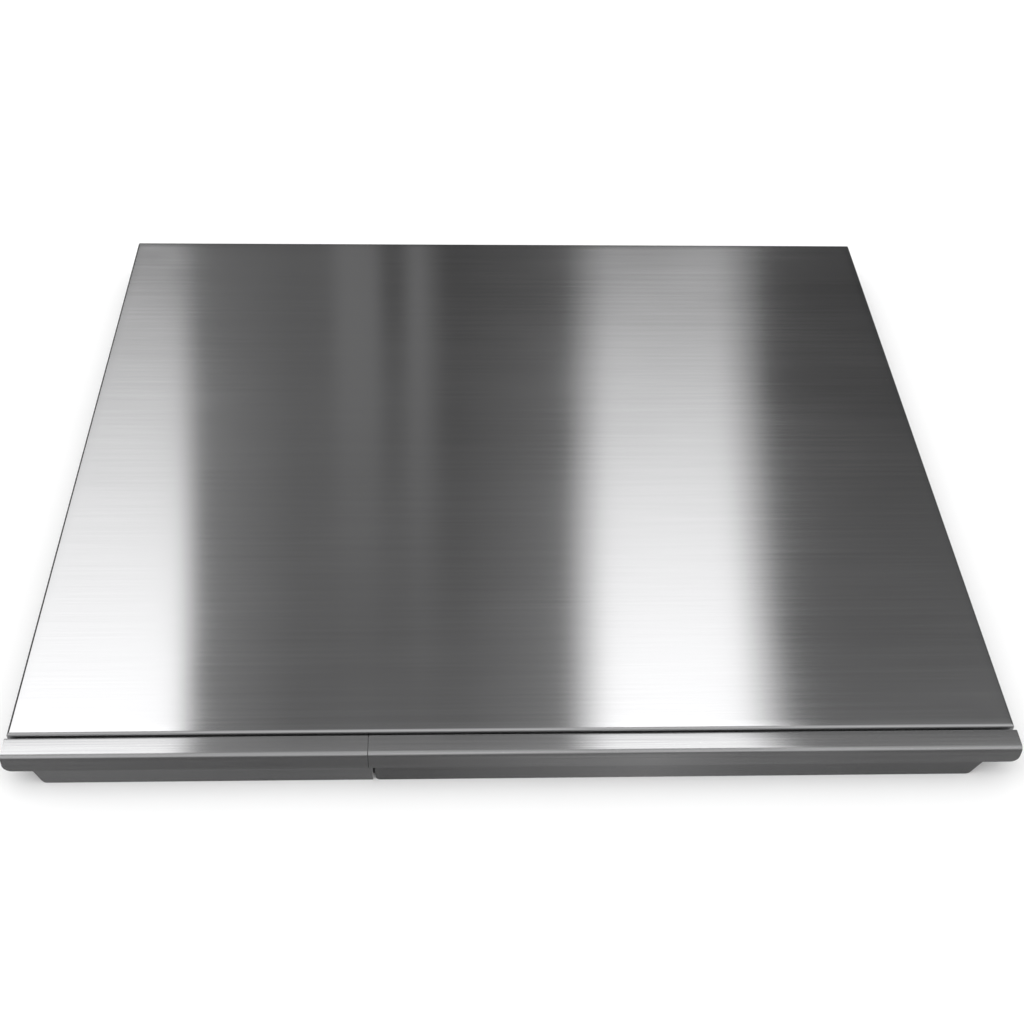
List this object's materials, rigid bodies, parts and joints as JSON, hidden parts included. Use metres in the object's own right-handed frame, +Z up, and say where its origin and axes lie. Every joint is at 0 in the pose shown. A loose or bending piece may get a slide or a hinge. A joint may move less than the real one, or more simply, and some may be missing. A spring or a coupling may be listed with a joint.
{
  "type": "deck hatch",
  "caption": "Low stainless deck hatch: a folded pan lid over a raised coaming, with a split front sill trim, a drain gutter, rear friction hinges and inside dog levers.",
  "frame": {"origin": "middle of the hatch's footprint, on the deck plane that its coaming stands on", "axes": "+X along the front sill to the right seen from the front, -Y towards the front sill, +Z up from the deck"},
  "size_m": [0.601, 0.532, 0.027],
  "materials": {
    "brushed_steel_trim": "fine brushed grain along the width",
    "coaming_steel": "dull mill finish",
    "fixing_steel": "turned and bright",
    "seal_rubber": "matt extruded rubber",
    "lever_nylon": "fine moulded grain",
    "bush_acetal": "turned plastic"
  },
  "bodies": {
    "coaming": {"front_rail": "coaming_steel", "rear_rail": "coaming_steel", "left_rail": "coaming_steel", "right_rail": "coaming_steel", "corner_gussets": "coaming_steel", "gutter_tray": "coaming_steel", "sill_left": "brushed_steel_trim", "sill_right": "brushed_steel_trim", "apron_left": "brushed_steel_trim", "apron_right": "brushed_steel_trim", "seam_plate": "coaming_steel", "sill_brackets": "coaming_steel", "coaming_seal": "seal_rubber", "hinge_bracket_left": "coaming_steel", "hinge_bracket_right": "coaming_steel", "hinge_screws": "fixing_steel", "hinge_screw_nuts": "fixing_steel", "hinge_pin_left": "fixing_steel", "hinge_pin_right": "fixing_steel", "hinge_pin_nuts": "fixing_steel", "friction_washers": "bush_acetal", "dog_keepers": "coaming_steel"},
    "lid": {"lid_skin": "brushed_steel_trim", "front_stiffener": "coaming_steel", "rear_stiffener": "coaming_steel", "rib_left": "coaming_steel", "rib_centre": "coaming_steel", "rib_right": "coaming_steel", "lid_arm_left": "coaming_steel", "lid_arm_right": "coaming_steel", "hinge_bushes": "bush_acetal", "lid_studs": "fixing_steel", "lid_stud_nuts": "fixing_steel", "dog_boss_left": "coaming_steel", "dog_boss_right": "coaming_steel", "boss_studs": "fixing_steel", "boss_stud_nuts": "fixing_steel"},
    "dog_left": {"dog_shaft_left": "fixing_steel", "dog_tongue_left": "coaming_steel", "dog_lever_left": "lever_nylon", "dog_washer_left": "fixing_steel", "dog_nut_left": "fixing_steel"},
    "dog_right": {"dog_shaft_right": "fixing_steel", "dog_tongue_right": "coaming_steel", "dog_lever_right": "lever_nylon", "dog_washer_right": "fixing_steel", "dog_nut_right": "fixing_steel"}
  },
  "joints": [
    {"name": "lid_hinge", "type": "hinge", "parent": "coaming", "child": "lid", "pos_m": [0, 0.256, 0.01275], "axis": [-1, 0, 0], "range_deg": [0, 95]},
    {"name": "dog_left_turn", "type": "hinge", "parent": "lid", "child": "dog_left", "pos_m": [-0.15, -0.188, 0.015], "axis": [0, 0, 1], "range_deg": [0, 90]},
    {"name": "dog_right_turn", "type": "hinge", "parent": "lid", "child": "dog_right", "pos_m": [0.15, -0.188, 0.015], "axis": [0, 0, -1], "range_deg": [0, 90]}
  ]
}
